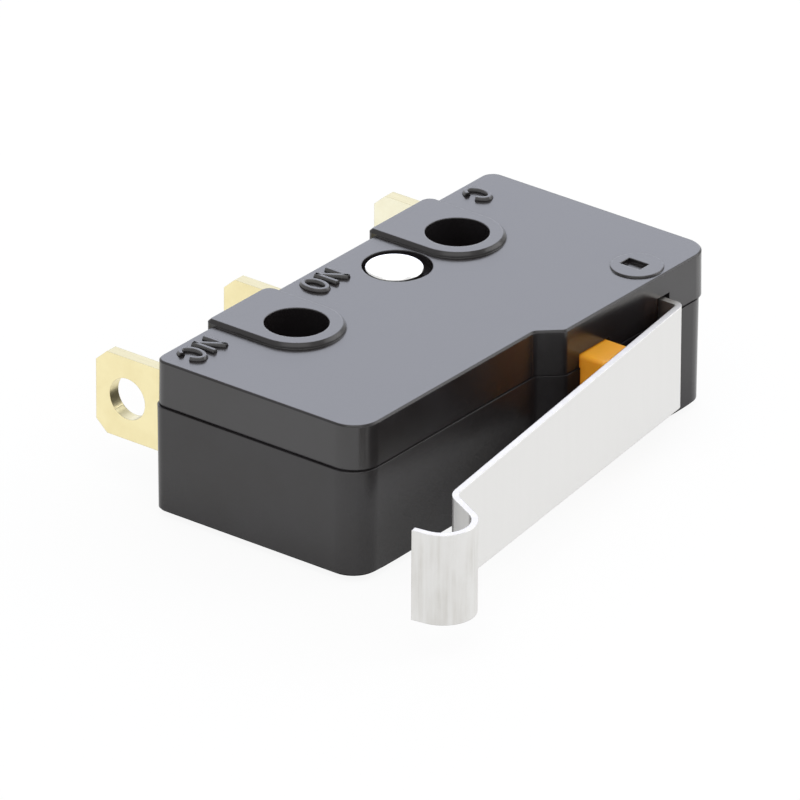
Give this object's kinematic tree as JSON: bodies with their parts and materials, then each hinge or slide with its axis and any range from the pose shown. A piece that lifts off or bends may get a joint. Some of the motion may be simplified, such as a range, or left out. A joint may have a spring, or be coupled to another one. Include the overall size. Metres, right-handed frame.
{
  "type": "snap-action switch with simulated roller lever",
  "caption": "Subminiature snap-action switch with a plastic housing, solder terminals, a plunger and a leaf lever whose end is rolled into a simulated roller.",
  "frame": {"origin": "midway between the two mounting holes, on the face of the lower mounting pads", "axes": "+Z along the mounting holes, up to the cover; +X along the row of holes, toward the lever's hinge and the common terminal; +Y toward the terminals, away from the lever"},
  "size_m": [0.0229, 0.0197, 0.0064],
  "materials": {
    "housing_plastic": "black moulded, fine satin texture",
    "plunger_plastic": "orange moulded",
    "terminal_brass": "pale bright brass, blanked edges",
    "lever_steel": "stainless sheet, fine satin grain",
    "rivet_steel": "bright plated steel",
    "contact_silver": "silver alloy",
    "spring_copper": "copper alloy spring sheet"
  },
  "bodies": {
    "housing": {"case": "housing_plastic", "cover": "housing_plastic", "housing_rivet": "rivet_steel", "nc_terminal": "terminal_brass", "no_terminal": "terminal_brass", "common_terminal": "terminal_brass", "nc_contact": "contact_silver", "no_contact": "contact_silver"},
    "lever": {"lever": "lever_steel"},
    "plunger": {"plunger": "plunger_plastic"},
    "snap_blade": {"contact_blade": "spring_copper", "moving_contact": "contact_silver", "snap_spring": "spring_copper"}
  },
  "joints": [
    {"name": "lever_hinge", "type": "hinge", "parent": "housing", "child": "lever", "pos_m": [0.00688, -0.00715, 0.0032], "axis": [0, 0, -1], "range_deg": [0, 10], "stiffness_Nm_per_rad": 0.054, "springref_deg": -3.84},
    {"name": "plunger_slide", "type": "slide", "parent": "housing", "child": "plunger", "axis": [0, 1, 0], "range_m": [0, 0.00072]},
    {"name": "blade_swing", "type": "hinge", "parent": "housing", "child": "snap_blade", "pos_m": [0.0067, -0.00504, 0.0032], "axis": [0, 0, -1], "range_deg": [0, 2.05], "deforming": ["contact_blade", "snap_spring"]}
  ],
  "couplings": [
    {"joint": "plunger_slide", "follows": "lever_hinge", "m_per_rad": 0.0041074},
    {"joint": "blade_swing", "follows": "lever_hinge", "ratio": 0.2}
  ]
}
